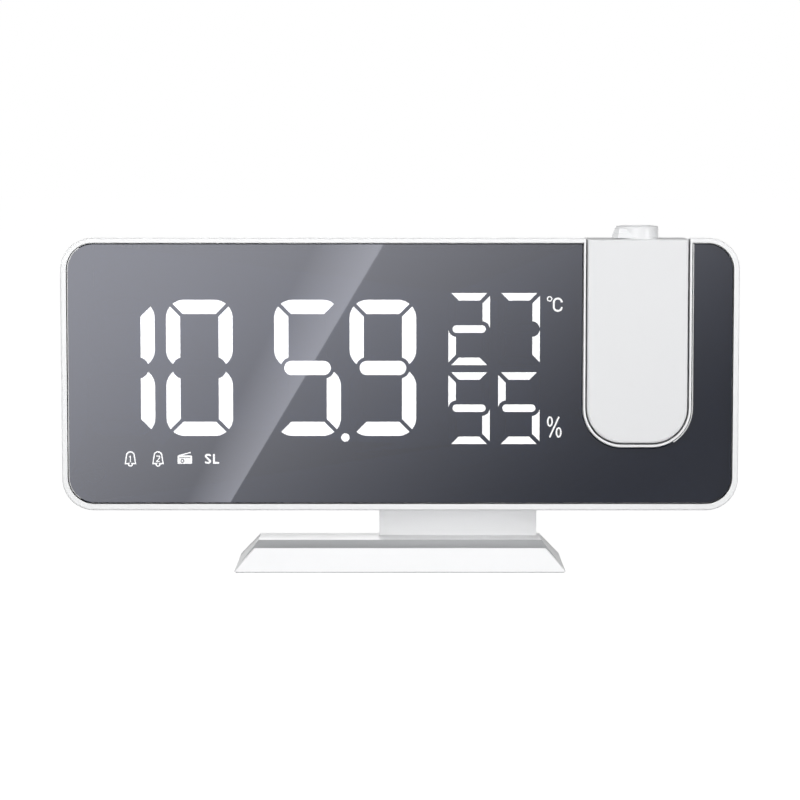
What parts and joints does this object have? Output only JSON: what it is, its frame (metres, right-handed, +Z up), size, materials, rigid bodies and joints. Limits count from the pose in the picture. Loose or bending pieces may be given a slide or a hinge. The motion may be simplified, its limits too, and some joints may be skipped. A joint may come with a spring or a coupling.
{
  "type": "projection alarm clock",
  "caption": "Desk alarm clock with a mirror-front lit digit display, a fold-out projector arm with focus ring, rear keys, a snooze key and a low stand.",
  "frame": {"origin": "on the table, under the middle of the clock's bounding box", "axes": "+X to the clock's right as the display is read, +Y to the back, +Z up"},
  "size_m": [0.186, 0.038, 0.0937],
  "materials": {
    "case_white": "fine gloss white, moulded ABS",
    "arm_white": "satin white, moulded ABS",
    "stand_white": "gloss white, moulded ABS",
    "barrel_white": "gloss white, turned grooves",
    "key_white": "satin white",
    "mirror_tint": "half-mirror tinted acrylic, polished",
    "lit_bar": "white light pipe, lit",
    "unlit_bar": "smoked light pipe, off",
    "black_plastic": "matt black",
    "circuit_board": "green solder mask",
    "steel": "zinc plated",
    "black_rubber": "matt black rubber",
    "mat_grey": "grey anti-slip mat",
    "black_print": "black ink on the back of the panel",
    "fibre": "friction fibre",
    "led_lens": "clear dome over phosphor",
    "screen_glass": "liquid crystal cell",
    "clear_lens": "polished"
  },
  "bodies": {
    "clock": {"aerial_grommet": "black_rubber", "alarm_symbols": "lit_bar", "base_plate": "stand_white", "base_screws": "steel", "base_weight": "steel", "board_chips": "black_plastic", "board_screws": "steel", "body_screws": "steel", "coin_cell": "steel", "digit_hour_tens": "lit_bar", "digit_hour_units": "lit_bar", "digit_humidity_tens": "lit_bar", "digit_humidity_units": "lit_bar", "digit_minute_tens": "lit_bar", "digit_minute_units": "lit_bar", "digit_temperature_tens": "lit_bar", "digit_temperature_units": "lit_bar", "display_board": "circuit_board", "display_point": "lit_bar", "foot_mat": "mat_grey", "front_frame": "case_white", "function_symbols": "lit_bar", "hinge_pin": "steel", "hinge_washers": "fibre", "housing_screws": "steel", "key_board": "circuit_board", "key_switches": "black_plastic", "light_box": "black_plastic", "main_board": "circuit_board", "mirror_panel": "mirror_tint", "panel_print": "black_print", "power_socket": "black_plastic", "rear_housing": "case_white", "snooze_switch": "black_plastic", "speaker": "black_plastic", "stand_base": "stand_white", "stand_neck": "stand_white", "unit_symbols": "lit_bar", "unlit_bars": "unlit_bar", "usb_socket": "steel"},
    "arm": {"arm_front_shell": "arm_white", "arm_rear_shell": "arm_white", "arm_screws": "steel", "optics_carrier": "black_plastic", "projector_board": "circuit_board", "projector_led": "led_lens", "condenser_lens": "clear_lens", "projector_screen": "screen_glass", "lens_barrel": "barrel_white"},
    "focus_ring": {"focus_ring": "barrel_white"},
    "lens_cell": {"lens_cell": "black_plastic", "projection_lens": "clear_lens"},
    "snooze_key": {"snooze_key": "key_white"},
    "battery_cover": {"battery_cover": "key_white"},
    "key_mode": {"key_mode": "key_white"},
    "key_set": {"key_set": "key_white"},
    "key_up": {"key_up": "key_white"},
    "key_down": {"key_down": "key_white"},
    "key_alarm": {"key_alarm": "key_white"},
    "key_projector": {"key_projector": "key_white"}
  },
  "joints": [
    {"name": "arm_hinge", "type": "hinge", "parent": "clock", "child": "arm", "pos_m": [0.0651, 0.01, 0.0877], "axis": [-1, 0, 0], "range_deg": [0, 90]},
    {"name": "focus_turn", "type": "hinge", "parent": "arm", "child": "focus_ring", "pos_m": [0.0651, 0.0007, 0.092], "axis": [0, 0, 1], "range_deg": [-66, 66]},
    {"name": "lens_focus", "type": "slide", "parent": "arm", "child": "lens_cell", "axis": [0, 0, 1], "range_m": [-0.001, 0.001]},
    {"name": "snooze_press", "type": "slide", "parent": "clock", "child": "snooze_key", "axis": [0, 0, -1], "range_m": [0, 0.0008], "stiffness_N_per_m": 1200, "springref_m": -0.0003},
    {"name": "cover_twist", "type": "hinge", "parent": "clock", "child": "battery_cover", "pos_m": [-0.018, 0.0174, 0.038], "axis": [0, 1, 0], "range_deg": [0, 45]},
    {"name": "key_mode_press", "type": "slide", "parent": "clock", "child": "key_mode", "axis": [0, -1, 0], "range_m": [0, 0.0005], "stiffness_N_per_m": 1500, "springref_m": -0.0003},
    {"name": "key_set_press", "type": "slide", "parent": "clock", "child": "key_set", "axis": [0, -1, 0], "range_m": [0, 0.0005], "stiffness_N_per_m": 1500, "springref_m": -0.0003},
    {"name": "key_up_press", "type": "slide", "parent": "clock", "child": "key_up", "axis": [0, -1, 0], "range_m": [0, 0.0005], "stiffness_N_per_m": 1500, "springref_m": -0.0003},
    {"name": "key_down_press", "type": "slide", "parent": "clock", "child": "key_down", "axis": [0, -1, 0], "range_m": [0, 0.0005], "stiffness_N_per_m": 1500, "springref_m": -0.0003},
    {"name": "key_alarm_press", "type": "slide", "parent": "clock", "child": "key_alarm", "axis": [0, -1, 0], "range_m": [0, 0.0005], "stiffness_N_per_m": 1500, "springref_m": -0.0003},
    {"name": "key_projector_press", "type": "slide", "parent": "clock", "child": "key_projector", "axis": [0, -1, 0], "range_m": [0, 0.0005], "stiffness_N_per_m": 1500, "springref_m": -0.0003}
  ],
  "couplings": [
    {"joint": "focus_turn", "follows": "lens_focus", "rad_per_m": 1047}
  ]
}
